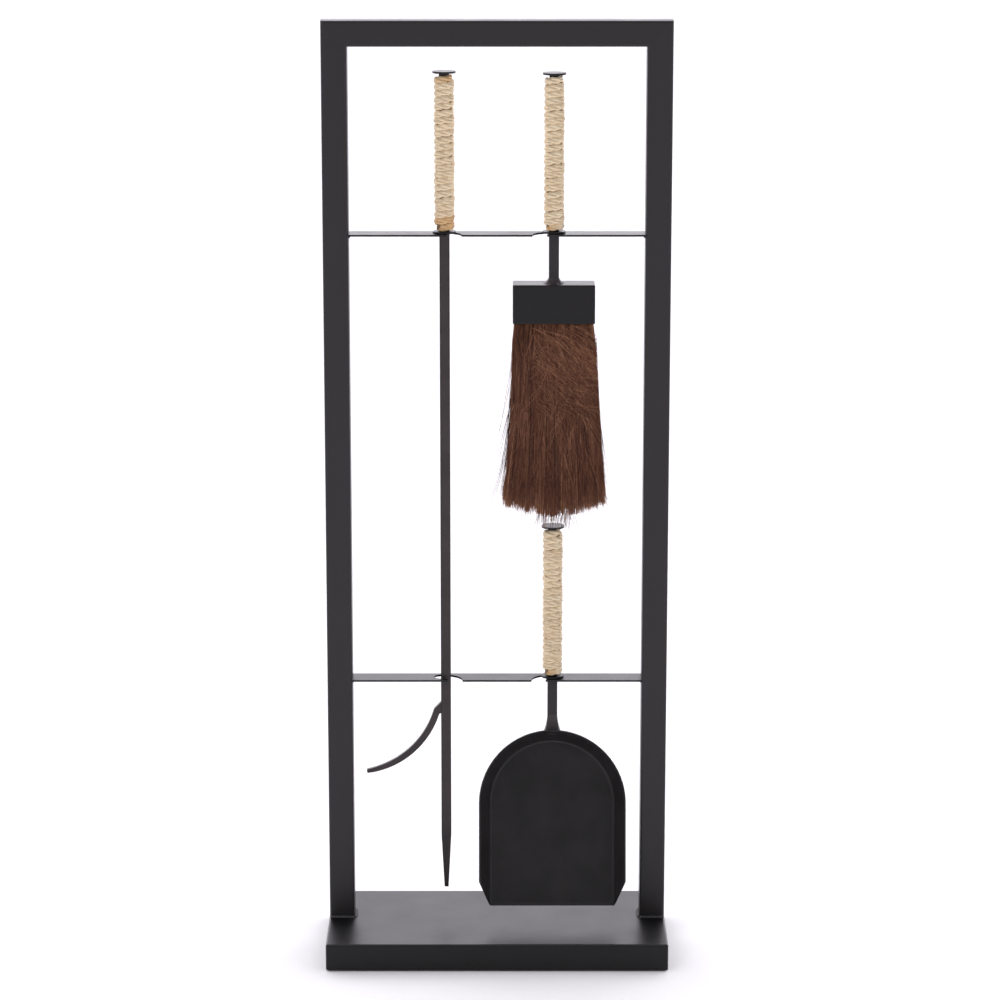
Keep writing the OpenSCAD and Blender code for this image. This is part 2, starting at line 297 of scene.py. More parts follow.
def cord_material():
    """Plied natural cord: pale straw fibres along each ply, darker between them and at tanned ends."""
    n = Nodes("natural_cord")
    uv = n.add("ShaderNodeTexCoord").outputs["UV"]
    fibres = n.noise(n.scaled(uv, (0.12, 2.6, 1)), 1.0, detail=5, roughness=0.65)
    strands = n.noise(n.scaled(uv, (0.10, 1.05, 1)), 1.0, detail=2, roughness=0.5)
    blotch = n.noise(n.place(), 90, detail=3)
    straw = n.ramp(fibres, [(0.30, (0.58, 0.43, 0.27)),
                            (0.44, (0.84, 0.69, 0.47)),
                            (0.72, (0.93, 0.80, 0.58))])
    pale = n.mix(n.map_range(blotch, 0.35, 0.7, 0.0, 0.45), straw, (0.94, 0.83, 0.61))
    lined = n.mix(n.map_range(strands, 0.47, 0.34, 0.0, 0.55), pale, (0.74, 0.62, 0.49), "MULTIPLY")
    tone = n.add("ShaderNodeAttribute", attribute_name="tone")
    tan = n.mix(0.85, lined, (0.82, 0.60, 0.38), "MULTIPLY")
    n.set(Base_Color=n.mix(tone.outputs["Fac"], lined, tan))
    n.set(Roughness=n.map_range(fibres, 0.3, 0.7, 0.72, 0.88))
    n.set(Specular_IOR_Level=0.25, Sheen_Weight=0.15, Sheen_Roughness=0.5)
    n.set(Normal=n.bump(fibres, 0.0003, 0.8, n.bump(strands, 0.0010, 0.8)))
    return n.material


def cord_shade():
    """Painted shade in the gaps between turns: the inner side of the winding, painted dark."""
    n = Nodes("cord_shade")
    fibres = n.noise(n.scaled(n.place(), (1, 1, 4)), 900, detail=4)
    # These dark browns are painted shade, not the cord's own colour.
    n.set(Base_Color=n.ramp(fibres, [(0.3, (0.15, 0.09, 0.045)), (0.7, (0.27, 0.175, 0.095))]))
    n.set(Roughness=0.95)
    n.set(Normal=n.bump(fibres, 0.0003, 0.7))
    return n.material


def bristle_material():
    """Dark brown plant fibre: each bristle has its own tone, with darker streaks along it."""
    n = Nodes("bristle")
    tone = n.add("ShaderNodeAttribute", attribute_name="tone").outputs["Fac"]
    colour = n.ramp(tone, [(0.00, (0.020, 0.0072, 0.0045)),
                           (0.40, (0.112, 0.0430, 0.0250)),
                           (0.75, (0.240, 0.1010, 0.0570)),
                           (1.00, (0.430, 0.2150, 0.1180))])
    streak = n.noise(n.scaled(n.place(), (1, 1, 0.15)), 500, detail=3)
    shade = n.map_range(streak, 0.35, 0.7, 0.0, 0.5)
    n.set(Base_Color=n.mix(shade, colour, (0.42, 0.36, 0.34), "MULTIPLY"))
    n.set(Roughness=n.map_range(streak, 0.3, 0.7, 0.5, 0.68), Specular_IOR_Level=0.22)
    return n.material


def wood_material():
    """Plain beech, with long grain along the block."""
    n = Nodes("block_wood")
    rings = n.noise(n.scaled(n.place(), (0.06, 1, 1)), 260, detail=5)
    n.set(Base_Color=n.ramp(rings, [(0.3, (0.36, 0.21, 0.11)), (0.7, (0.58, 0.39, 0.22))]))
    n.set(Roughness=n.map_range(rings, 0.3, 0.7, 0.5, 0.65))
    n.set(Normal=n.bump(rings, 0.0002, 0.4))
    return n.material


def pad_material():
    """Soft black rubber."""
    n = Nodes("pad")
    speck = n.noise(n.place(), 1800, detail=3)
    n.set(Base_Color=n.ramp(speck, [(0.3, (0.012, 0.012, 0.012)), (0.7, (0.03, 0.03, 0.03))]))
    n.set(Roughness=0.9)
    n.set(Normal=n.bump(speck, 0.0002, 0.6))
    return n.material


# One material for each slot in the record; lighter copies of the coats, whose extra lightness is painted
# light on the bars, their welds and the scoop; and the painted shade for the grips' gaps.
MATERIALS = {
    "powder_coat": powder_coat("powder_coat", (0.0024, 0.0020, 0.0024), (0.0042, 0.0034, 0.0042)),
    "natural_cord": cord_material(),
    "bristle": bristle_material(),
    "block_wood": wood_material(),
    "pad": pad_material(),
}
# These copies of the coats are painted light: they are lighter than the frame's coat to stand in for the
# light that the bars, their welds and the scoop catch.
LIT_BAR_COAT = powder_coat("lit_bar_coat", (0.034, 0.0260, 0.0265), (0.048, 0.0370, 0.0375))
LIT_SCOOP_COAT = powder_coat("lit_scoop_coat", (0.013, 0.0118, 0.0122), (0.019, 0.0172, 0.0178))
WELD_COAT = weld_coat("weld_coat", (0.006, 0.006, 0.006), (0.014, 0.013, 0.014))
LIT_BAR_WELD_COAT = weld_coat("lit_bar_weld_coat", (0.024, 0.0185, 0.0190), (0.042, 0.0325, 0.0330))
CORD_SHADE = cord_shade()


# ---------------------------------------------------------------- mesh helpers

class Mesh:
    """Collects the vertices and faces of one piece, with a tone and a UV for each vertex."""

    def __init__(self):
        self.points = []
        self.faces = []
        self.slots = []
        self.tones = []
        self.uvs = []

    def grid(self, rings, closed=True, caps=False, slot=0, tone=0.0, uv=None):
        """Joins rings of points with quads. tone is one number or one for each ring; uv is a function
        of ring and place that gives a pair."""
        start = len(self.points)
        count = len(rings[0])
        for i, ring in enumerate(rings):
            self.points.extend(ring)
            self.tones.extend([tone[i] if isinstance(tone, list) else tone] * count)
            self.uvs.extend(uv(i, j) if uv else (0.0, 0.0) for j in range(count))
        wrap = count if closed else count - 1
        for i in range(len(rings) - 1):
            for j in range(wrap):
                a = start + i * count + j
                b = start + i * count + (j + 1) % count
                self.faces.append((a, b, b + count, a + count))
                self.slots.append(slot)
        if caps:
            last = start + (len(rings) - 1) * count
            self.faces.append(tuple(range(start + count - 1, start - 1, -1)))
            self.faces.append(tuple(range(last, last + count)))
            self.slots.extend((slot, slot))

    def build(self, name, materials):
        """Makes the piece, with smooth faces; slot numbers in its faces pick from materials."""
        mesh = bpy.data.meshes.new(name)
        mesh.from_pydata(self.points, [], self.faces)
        for material in materials:
            mesh.materials.append(material)
        mesh.polygons.foreach_set("material_index", self.slots)
        mesh.polygons.foreach_set("use_smooth", [True] * len(self.faces))
        tone = mesh.attributes.new("tone", "FLOAT", "POINT")
        tone.data.foreach_set("value", self.tones)
        layer = mesh.uv_layers.new(name="UVMap")
        corners = [0] * len(mesh.loops)
        mesh.loops.foreach_get("vertex_index", corners)
        layer.data.foreach_set("uv", [value for c in corners for value in self.uvs[c]])
        mesh.validate()
        piece = bpy.data.objects.new(name, mesh)
        bpy.context.collection.objects.link(piece)
        return piece


def stand_for(piece, node):
    """The piece replaces a CAD node and rides on its body."""
    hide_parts(node)
    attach(piece, BODY_OF[node])


def frame_along(tangent, hint):
    """Two directions square to the tangent, the first as near to hint as it can be."""
    across = (hint - tangent * hint.dot(tangent)).normalized()
    return across, tangent.cross(across)


def heading(path, i):
    """The direction of a path at its point i."""
    return (path[min(i + 1, len(path) - 1)] - path[max(i - 1, 0)]).normalized()


def oval(heart, size, across, up, sides):
    """A ring of points round heart, size times as far out as across on one axis and as up on the other."""
    angles = [math.tau * j / sides for j in range(sides)]
    return [heart + size * (math.cos(a) * across + math.sin(a) * up) for a in angles]


def tube(mesh, path, radii, hint, tone=0.0):
    """A thin three-sided tube along a path of points, with a radius for each."""
    rings = []
    for i, point in enumerate(path):
        across, up = frame_along(heading(path, i), hint)
        rings.append(oval(point, radii[i], across, up, 3))
    mesh.grid(rings, caps=True, tone=tone)


def merge_points(piece, distance):
    """Joins points that are nearer than distance."""
    weld = piece.modifiers.new("merge", "WELD")
    weld.merge_threshold = distance


def ease_edges(piece, width, segments, angle, harden=False):
    """Rounds every edge that turns by more than angle."""
    bevel = piece.modifiers.new("ease", "BEVEL")
    bevel.width = width
    bevel.segments = segments
    bevel.limit_method = "ANGLE"
    bevel.angle_limit = math.radians(angle)
    bevel.harden_normals = harden


# ---------------------------------------------------------------- steel parts kept from the frame

# The nodes with the bars' lighter coat, a copy of the powder coat with painted light, and how wide the
# eased edges are on the nodes that have them.
BARS = ("poker_shaft", "brush_shaft", "shovel_shaft")
BEVELS = {
    "upper_rack": 0.3 * MM,
    "lower_rack": 0.3 * MM,
    "poker_collar": 0.35 * MM,
    "brush_collar": 0.35 * MM,
    "shovel_collar": 0.35 * MM,
    "poker_knob": 0.45 * MM,
    "brush_knob": 0.45 * MM,
    "shovel_knob": 0.45 * MM,
    "poker_shaft": 0.3 * MM,
}


def finish_frame_nodes():
    """Each CAD node gets its slot's material, the bars a lighter copy with painted light instead, and
    sharp-edged ones get their edges eased.
    """
    for name, node in frame["nodes"].items():
        node.data.materials.clear()
        node.data.materials.append(LIT_BAR_COAT if name in BARS else MATERIALS[SLOT_OF[name]])
        if name in BEVELS:
            merge_points(node, 0.002 * MM)
            ease_edges(node, BEVELS[name], 3, 35, harden=True)


# ---------------------------------------------------------------- welds

def weld_run(mesh, start, along, out, up, length, leg, rng):
    """One rippled fillet bead from start, along a straight joint, that reaches leg out and leg up."""
    ripple = 1.9 * MM
    step = 0.3 * MM
    sunk = 0.4 * MM
    hollow = 0.16
    corner_steps = 6
    count = max(8, int(length / step))
    phase = rng.random() * math.tau
    rings = []
    for i in range(count + 1):
        s = i / count
        swell = math.sqrt(max(0.0, 1 - abs(2 * s - 1) ** 6))
        wave = 1 + 0.10 * math.sin(math.tau * s * length / ripple + phase)
        wave += 0.12 * noise.noise(Vector((s * length * 300, phase, 0)))
        size = leg * max(0.05, swell * wave)
        root = start + along * (s * length)
        ring = [root - out * sunk - up * sunk]
        for j in range(corner_steps + 1):
            a = math.pi / 2 * j / corner_steps
            reach = size * (1 - hollow * math.sin(2 * a))
            ring.append(root + out * (reach * math.cos(a)) + up * (reach * math.sin(a)))
        rings.append(ring)
    mesh.grid(rings, caps=True)


def weld_ring(mesh, centre, half, rng, leg, rise, low, back=1.0):
    """A flared, lumpy bead round a square bar, from low below centre up to rise above it; back is
    the share of the flare that the bar's back gets."""
    sides = 72
    steps = 10
    sunk = 0.05 * MM
    phase = rng.random() * 10
    rings = []
    for i in range(steps + 1):
        t = i / steps
        flare = leg * (1 - t) ** 2.1
        height = -low + (rise + low) * t
        ring = []
        for j in range(sides):
            a = math.tau * j / sides
            direction = Vector((math.cos(a), math.sin(a), 0))
            lump = 1 + 0.22 * noise.noise(Vector((a * 2.2, t * 2, phase)))
            lump += 0.05 * math.sin(a * 19 + t * 4)
            share = 1 - (1 - back) * min(1.0, 1.4 * max(0.0, math.sin(a)))
            reach = flare * lump * share - sunk
            ring.append(centre + rounded_square(a, half, BAR_CORNER) + direction * reach + Z * height)
        rings.append(ring)
    mesh.grid(rings)


def make_foot_welds(rng):
    """Beads along the front, the back and the inner side of each upright's foot."""
    leg = 2.1 * MM
    beads = Mesh()
    for name, inward in (("left_upright", 1), ("right_upright", -1)):
        low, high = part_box(name)
        width = high.x - low.x
        front_left = Vector((low.x, low.y, low.z))
        back_right = Vector((high.x, high.y, low.z))
        front_right = Vector((high.x, low.y, low.z))
        back_left = Vector((low.x, high.y, low.z))
        inner = front_right if inward > 0 else back_left
        weld_run(beads, front_left, X, -Y, Z, width, leg, rng)
        weld_run(beads, back_right, -X, Y, Z, width, leg, rng)
        weld_run(beads, inner, Y * inward, X * inward, Z, width, leg, rng)
    stand_for(beads.build("foot_weld_beads", [WELD_COAT]), "foot_welds")


def make_rack_welds(rng):
    """Beads under the two ends of each rack."""
    leg = 2.0 * MM
    inset = 1.8 * MM
    beads = Mesh()
    for name in ("upper_rack", "lower_rack"):
        low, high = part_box(name)
        run = high.y - low.y - 2 * inset
        for x, inward in ((low.x, 1), (high.x, -1)):
            begin = high.y - inset if inward > 0 else low.y + inset
            start = Vector((x, begin, low.z))
            weld_run(beads, start, Y * -inward, X * inward, -Z, run, leg, rng)
    stand_for(beads.build("rack_weld_beads", [WELD_COAT]), "rack_welds")


def make_stand_welds():
    """The beads at the uprights' feet and at the racks' ends."""
    rng = random.Random(11)
    make_foot_welds(rng)
    make_rack_welds(rng)


def make_tool_weld(tool, height, rng, **shape):
    """The bead round a tool's bar at a height."""
    bar = f"{tool}_shaft"
    centre = middle(bar)
    centre.z = height
    bead = Mesh()
    weld_ring(bead, centre, half_width(bar), rng, **shape)
    stand_for(bead.build(f"{tool}_weld_bead", [LIT_BAR_WELD_COAT]), f"{tool}_weld")


def make_tool_welds():
    """The beads where the brush's bar meets its ferrule and the shovel's bar meets its scoop."""
    rng = random.Random(12)
    ferrule_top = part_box("brush_shaft")[0].z
    scoop_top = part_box("shovel_blade")[1].z
    make_tool_weld("brush", ferrule_top, rng, leg=4.6 * MM, rise=5.2 * MM, low=0.2 * MM)
    make_tool_weld("shovel", scoop_top, rng, leg=3.2 * MM, rise=14 * MM, low=3.5 * MM, back=0.08)


# ---------------------------------------------------------------- wound grips

def rounded_square(angle, half, corner):
    """The point at that angle on a square outline with round corners, centred on the origin."""
    flat = half - corner
    direction = Vector((math.cos(angle), math.sin(angle), 0))
    quarter = round(angle / (math.pi / 2)) * math.pi / 2
    turn = angle - quarter
    reach = half / math.cos(turn)
    if abs(reach * math.sin(turn)) <= flat:
        return direction * reach
    diagonal = quarter + math.copysign(math.pi / 4, turn)
    centre = Vector((math.cos(diagonal), math.sin(diagonal), 0)) * flat * math.sqrt(2)
    along = direction.dot(centre)
    return direction * (along + math.sqrt(along ** 2 - centre.length_squared + corner ** 2))


# The cord's thickness out from the bar, its height once pressed against its neighbours, and the pitch.
CORD_D = 3.95 * MM
TURN_H = 5.9 * MM
TURN_PITCH = 5.3 * MM
POINTS_PER_TURN = 64
# The angle at which the cord starts, at the front left, and the share of a turn on from there to its end.
START_ANGLE = math.radians(215)
END_TURN = 0.36
# How far the cord's ends tuck in under their neighbours, and over what share of a turn.
TUCK_DEPTH = 1.5 * MM
START_TUCK, END_TUCK = 0.30, 0.22
# The plies twisted into the cord: how far one full twist runs, and for one ply how far its middle lies
# from the cord's middle and how far it reaches from there, each out from the bar and up along it.
PLIES = 3
TWIST_PITCH = 21 * MM
PLY_OUT, PLY_UP = 0.78 * MM, 1.42 * MM
PLY_OUT_R, PLY_UP_R = 1.20 * MM, 1.52 * MM


def winding_path(centre, low_z, high_z, bar_half, rng):
    """Points along the cord's middle line as it winds up the bar, and its count of whole turns."""
    uneven = 0.35 * MM
    bottom = low_z + TURN_H / 2 - 0.3 * MM
    top = high_z - TURN_H / 2 + 0.6 * MM
    turns = round((top - bottom) / TURN_PITCH)
    total = turns + END_TURN
    count = int(total * POINTS_PER_TURN)
    sway = [rng.uniform(-uneven, uneven) for _ in range(turns + 3)]
    press = [rng.uniform(-uneven, uneven) for _ in range(4 * turns + 8)]
    path = []
    for i in range(count + 1):
        t = i / POINTS_PER_TURN
        angle = (START_ANGLE + math.tau * t) % math.tau
        whole = int(t)
        part = t - whole
        ease = part * part * (3 - 2 * part)
        wobble = sway[whole] * (1 - ease) + sway[whole + 1] * ease
        tuck = min(1.0, t / START_TUCK, (total - t) / END_TUCK)
        quarter = int(4 * t)
        shift = 4 * t - quarter
        bulge = press[quarter] * (1 - shift) + press[quarter + 1] * shift
        half = bar_half + CORD_D / 2 + bulge - (1 - tuck) * TUCK_DEPTH
        corner = BAR_CORNER + CORD_D / 2 * (0.4 + 0.6 * tuck)
        point = rounded_square(angle, half, min(corner, half * 0.95))
        height = bottom + (top - bottom) * i / count + wobble
        path.append(Vector((centre.x, centre.y, height)) + point)
    return path, turns


def outward_from(centre, point):
    """The level direction from the bar's middle line to a point."""
    return Vector((point.x - centre.x, point.y - centre.y, 0)).normalized()


def lengths_along(path):
    """How far along the path each of its points is."""
    lengths = [0.0]
    for a, b in zip(path, path[1:]):
        lengths.append(lengths[-1] + (b - a).length)
    return lengths


def cord_tones(count, turns, tan_low, tan_high, seed):
    """How tanned the cord is at each of its points: fully at its two ends, and faintly in patches."""
    tones = []
    for i in range(count):
        turn = i / POINTS_PER_TURN
        tan = max((tan_low - turn) / 0.25, (turn - turns - END_TURN + tan_high) / 0.4)
        patch = 0.10 + 0.16 * noise.noise(Vector((turn * 0.7, seed, 3)))
        tones.append(max(0.0, patch, min(1.0, tan)))
    return tones


def add_ply(mesh, path, lengths, centre, ply, seed, tones):
    """One ply of the cord, which twists round the cord's middle line."""
    sides = 10
    rings = []
    for i, point in enumerate(path):
        across, up = frame_along(heading(path, i), outward_from(centre, point))
        phase = math.tau * (lengths[i] / TWIST_PITCH + ply / PLIES)
        swell = 1 + 0.24 * noise.noise(Vector((lengths[i] * 130, ply * 9.0, seed)))
        heart = point + PLY_OUT * math.cos(phase) * across + PLY_UP * math.sin(phase) * up
        rings.append(oval(heart, swell, PLY_OUT_R * across, PLY_UP_R * up, sides))
    mesh.grid(rings, caps=True, tone=tones,
              uv=lambda i, j: (lengths[i] / MM, j * 7.2 / sides + lengths[i] / MM * 0.35))


def add_cord_core(mesh, centre, low_z, high_z, bar_half):
    """The shaded sleeve that shows in the gaps between the turns."""
    sides = 48
    steps = 12
    half = bar_half + 1.9 * MM
    corner = 1.5 * MM
    bottom, height = low_z + 1.5 * MM, high_z - low_z - 6 * MM
    outline = [rounded_square(math.tau * j / sides, half, corner) for j in range(sides)]
    rings = []
    for i in range(steps + 1):
        heart = Vector((centre.x, centre.y, bottom + height * i / steps))
        rings.append([heart + point for point in outline])
    mesh.grid(rings, slot=1)


def make_grip(node, seed, tan_low, tan_high):
    """Plies twisted together and wound round the bar, over a shaded core, up to just below the knob.

    tan_low and tan_high are how many turns at the two ends are tanned."""
    rng = random.Random(seed)
    tool = node.replace("_grip_cord", "")
    centre = middle(node)
    low_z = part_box(node)[0].z
    high_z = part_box(f"{tool}_knob")[0].z - 0.7 * MM
    bar_half = half_width(f"{tool}_shaft")
    path, turns = winding_path(centre, low_z, high_z, bar_half, rng)
    lengths = lengths_along(path)
    tones = cord_tones(len(path), turns, tan_low, tan_high, seed)
    mesh = Mesh()
    for ply in range(PLIES):
        add_ply(mesh, path, lengths, centre, ply, seed, tones)
    add_cord_core(mesh, centre, low_z, high_z, bar_half)
    add_fuzz(mesh, path, centre, rng)
    grip = mesh.build(node.replace("_cord", "_winding"), [MATERIALS["natural_cord"], CORD_SHADE])
    stand_for(grip, node)


def add_fuzz(mesh, path, centre, rng):
    """Loose fibre ends that stand off the cord."""
    radii = [0.06 * MM, 0.05 * MM, 0.04 * MM, 0.02 * MM]
    for _ in range(170):
        root = rng.choice(path)
        outward = outward_from(centre, root)
        swing = Vector((rng.uniform(-1, 1), rng.uniform(-1, 1), rng.uniform(-1, 1)))
        start = root + outward * 1.6 * MM
        length = rng.uniform(0.8, 2.2) * MM
        lean = (outward * 0.7 + swing * 0.8).normalized()
        bend = Vector((rng.uniform(-1, 1), rng.uniform(-1, 1), rng.uniform(-1, 0.4)))
        points = [start + lean * length * s + bend * length * 0.35 * s * s for s in (0, 0.35, 0.7, 1)]
        tube(mesh, points, radii, Vector((0.3, 0.2, 1)))


# ---------------------------------------------------------------- bristles

# How many points a bristle has, and how many bristles there are of each kind.
HAIR_RINGS = 8
MAIN_BRISTLES = 4100
FINE_BRISTLES = 2000
SWIRL_HAIRS = 1300
FAN_HAIRS = 520
COMBED_HAIRS = 260
SIDE_STRAYS = 110
END_STRAYS = 420
KNOB_STRAYS = 90


def hair(mesh, path, thick, tone, root=0.0, tip=0.0):
    """One bristle that thins towards its end; root is painted light that lightens its root where the
    ferrule shades it, and tip is how much lighter its end is.
    """
    last = len(path) - 1
    radii = [thick * (1 - 0.45 * (i / last) ** 3) for i in range(len(path))]
    lights = [tone + root * (1 - i / last) ** 6 + tip * (i / last) ** 8 for i in range(len(path))]
    tones = [max(0.0, min(1.0, light)) for light in lights]
    tube(mesh, path, radii, Vector((0.1, 1, 0.05)), tone=tones)


class Head:
    """The bristle head's place and shape, from the frame; its roots are wall inside the ferrule."""

    def __init__(self):
        self.low, self.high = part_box("brush_bristles")
        ferrule_low, ferrule_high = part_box("brush_ferrule")
        self.wall = 1.6 * MM
        self.centre = middle("brush_bristles")
        self.top = self.high.z
        self.length = self.high.z - self.low.z
        self.root_w = (ferrule_high.x - ferrule_low.x) / 2 - self.wall
        self.root_d = (ferrule_high.y - ferrule_low.y) / 2 - self.wall
        self.end_w = (self.high.x - self.low.x) / 2
        self.end_d = (self.high.y - self.low.y) / 2

    def half_w(self, t, side):
        """Half width at t, from 0 under the ferrule to 1 at the ends: the left side, where side is
        below 0, hangs straight and flares late, and the right side flares steadily."""
        swell = 1 - math.exp(-t * 30)
        flare = 0.72 * t ** 4.3 if side < 0 else 0.84 * t ** 1.25
        return self.root_w + self.wall * swell + (self.end_w - self.root_w) * flare

    def half_d(self, t):
        """Half depth at t."""
        swell = 1 - math.exp(-t * 45)
        return self.root_d + 2.0 * MM * swell + (self.end_d - self.root_d - 3.2 * MM) * t ** 1.8

    def end_z(self, u):
        """The height at which bristles end, lower in the middle than at the sides."""
        return self.low.z + (1.0 + 9.5 * abs(u) ** 2.2) * MM

    def place(self, u, v, t, height):
        """The point at shares u and v of the half width and the half depth at t."""
        x = self.centre.x + u * self.half_w(t, u)
        y = self.centre.y + v * self.half_d(t)
        return Vector((x, y, height))

    def level(self, height):
        """How far down a height is, from 0 under the ferrule to 1 at the ends."""
        return max(0.0, min(1.0, (self.top - height) / self.length))


def root_place(rng):
    """A bristle's root, as shares of the half width and the half depth; most are near the outside."""
    if rng.random() > 0.82:
        return rng.uniform(-1, 1), rng.uniform(-1, 1)
    side = rng.choices(("front", "back", "left", "right"), (36, 34, 15, 15))[0]
    deep = min(abs(rng.gauss(0, 0.10)), 0.4)
    spot = rng.uniform(-1, 1)
    if side in ("front", "back"):
        return spot, (-1 if side == "front" else 1) * (1 - deep * 2.2)
    return (-1 if side == "left" else 1) * (1 - deep), spot


def hanging_path(head, u, v, end, rng):
    """A bristle's path from inside the ferrule down to end, its lock's lean and its tuft's lean.

    It leans with both, and gathers to the middle of its lock."""
    lock = noise.noise_vector(Vector((u * 5.0, v * 2.0, 1.7)))
    tight = noise.noise_vector(Vector((u * 13.0, v * 4.0, 8.1)))
    locks = 8
    gather = (math.floor(u * locks + v * 1.5) + 0.5 - v * 1.5) / locks - u
    bend_x = lock.x * 0.14 + tight.x * 0.09 + rng.gauss(0, 0.035) + 0.45 * gather
    bend_y = lock.y * 0.10 + rng.gauss(0, 0.05)
    wave = rng.uniform(0, math.tau)
    kink = rng.gauss(0, 0.35) * MM
    root_z = head.top + 2.5 * MM
    path = []
    for i in range(HAIR_RINGS):
        height = root_z + (end - root_z) * i / (HAIR_RINGS - 1)
        t = head.level(height)
        point = head.place(u + bend_x * t ** 1.3, v + bend_y * t, t, height)
        point.x += kink * math.sin(wave + t * 5)
        point.y += kink * math.cos(wave + t * 4)
        if height > head.top:
            point.x = head.centre.x + u * head.root_w
            point.y = head.centre.y + v * head.root_d
        path.append(point)
    return path, lock, tight


def make_bristles():
    """The whole head: its outer bristles, the mass inside them painted dark with shade, and the loose
    hairs over them.
    """
    head = Head()
    rng = random.Random(7)
    # noise_vector has a seed of its own, and differs from run to run without it.
    noise.seed_set(7)
    light_share = 0.10
    mesh = Mesh()
    for _ in range(MAIN_BRISTLES):
        u, v = root_place(rng)
        ragged = 2.5 * MM * noise.noise(Vector((u * 5.0, v * 2.0, 4.2)))
        end = head.end_z(u) + rng.triangular(-1.5, 9, 0.5) * MM + ragged
        path, lock, tight = hanging_path(head, u, v, end, rng)
        tone = 0.31 + 0.36 * lock.y + 0.34 * tight.y + rng.gauss(0, 0.15)
        if rng.random() < light_share:
            tone += 0.40
        # root lightens the roots under the ferrule: painted light against the ferrule's shade.
        hair(mesh, path, rng.uniform(0.19, 0.29) * MM, tone, root=0.50, tip=0.55)
    bristles = mesh.build("bristles_main", [MATERIALS["bristle"]])
    stand_for(bristles, "brush_bristles")
    make_bristle_core(head)
    make_fine_bristles(head, rng)
    make_swirl(head, rng)
    make_strays(head, rng)


def add_bristle_piece(mesh, name):
    """One more piece of the head, which rides with the bristles."""
    piece = mesh.build(name, [MATERIALS["bristle"]])
    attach(piece, BODY_OF["brush_bristles"])


def make_bristle_core(head):
    """The dense inner bristles, as one ridged mass that closes the gaps between the outer ones, painted
    near-black as painted shade.
    """
    mesh = Mesh()
    steps = 14
    around = 120
    rings = []
    for i in range(steps + 1):
        t = i / steps
        ring = []
        for j in range(around):
            a = math.tau * j / around
            square = rounded_square(a, 1.0, 0.35)
            ridge = 1 + 0.035 * math.sin(j * 2.4) + 0.03 * noise.noise(Vector((j * 0.7, t * 3, 5)))
            u, v = square.x * 0.90 * ridge, square.y * 0.84 * ridge
            height = head.top - t * (head.top - head.end_z(u) - 12 * MM)
            ring.append(head.place(u, v, t * 0.95, height))
        rings.append(ring)
    # The core's low tone is painted shade, darker than the outer bristles.
    mesh.grid(rings, caps=True, tone=0.05)
    add_bristle_piece(mesh, "bristles_shade_core")


def make_fine_bristles(head, rng):
    """Thin light bristles over the front and the back, that cross the locks under them."""
    mesh = Mesh()
    for _ in range(FINE_BRISTLES):
        face = -1 if rng.random() < 0.6 else 1
        u = rng.uniform(-0.97, 0.97)
        v = face * (1.0 + rng.uniform(-0.04, 0.05))
        lean = 0.16 * noise.noise(Vector((u * 3.0, face * 2.0, 6.6))) + rng.gauss(0, 0.07)
        high = head.top - rng.uniform(0.0, 0.62) * head.length
        low = max(high - rng.uniform(28, 75) * MM, head.end_z(u) + rng.uniform(-1, 5) * MM)
        bow = rng.gauss(0, 0.03)
        path = []
        for i in range(HAIR_RINGS):
            s = i / (HAIR_RINGS - 1)
            height = high + (low - high) * s
            across = max(-1.01, min(1.01, u + lean * s + bow * math.sin(math.pi * s)))
            path.append(head.place(across, v, head.level(height), height))
        hair(mesh, path, rng.uniform(0.13, 0.20) * MM, rng.gauss(0.60, 0.20), tip=0.15)
    add_bristle_piece(mesh, "bristles_fine")


def lying_hair(head, start, angle, turn, length, lift):
    """A hair that lies on the front of the head, from start, turning as it goes."""
    path = []
    steps = 10
    x, z = start
    step = length / steps
    for i in range(steps + 1):
        t = head.level(z)
        x = max(-1.03 * head.half_w(t, -1), min(1.03 * head.half_w(t, 1), x))
        y = head.centre.y - head.half_d(t) - lift * math.sin(math.pi * (0.15 + 0.7 * i / steps))
        path.append(Vector((head.centre.x + x, y, z)))
        x += math.cos(angle) * step
        z += math.sin(angle) * step
        angle += turn / steps
    return path


def add_swirl(mesh, head, rng):
    """Loose hairs that lie across the upper right and turn down as they go; a few hang instead."""
    swirl_h = 66 * MM
    hanging_share = 0.10
    for _ in range(SWIRL_HAIRS):
        share = rng.random() ** 0.8
        x = rng.uniform(-0.55, 0.80) * head.root_w
        z = head.top - 1 * MM - share * swirl_h
        angle = math.radians(rng.gauss(-40 + 24 * share, 16))
        turn = math.radians(rng.gauss(-34, 22))
        if rng.random() < hanging_share:
            angle = math.radians(rng.gauss(-100, 14))
        length = rng.uniform(12, 40) * MM
        path = lying_hair(head, (x, z), angle, turn, length, rng.uniform(0.2, 1.5) * MM)
        hair(mesh, path, rng.uniform(0.12, 0.20) * MM, rng.gauss(0.78 - 0.22 * share, 0.26))


def add_fan(mesh, head, rng):
    """Hairs that spread towards the two sides below the swirl."""
    for _ in range(FAN_HAIRS):
        u = rng.uniform(-0.9, 0.9)
        z = head.top - rng.uniform(40, 108) * MM
        angle = math.radians(-90 + 15 * u + rng.gauss(3, 12))
        turn = math.radians(rng.gauss(0, 14))
        length = rng.uniform(20, 46) * MM
        path = lying_hair(head, (u * head.root_w, z), angle, turn, length, rng.uniform(0.1, 1.1) * MM)
        hair(mesh, path, rng.uniform(0.15, 0.24) * MM, rng.gauss(0.55, 0.19))


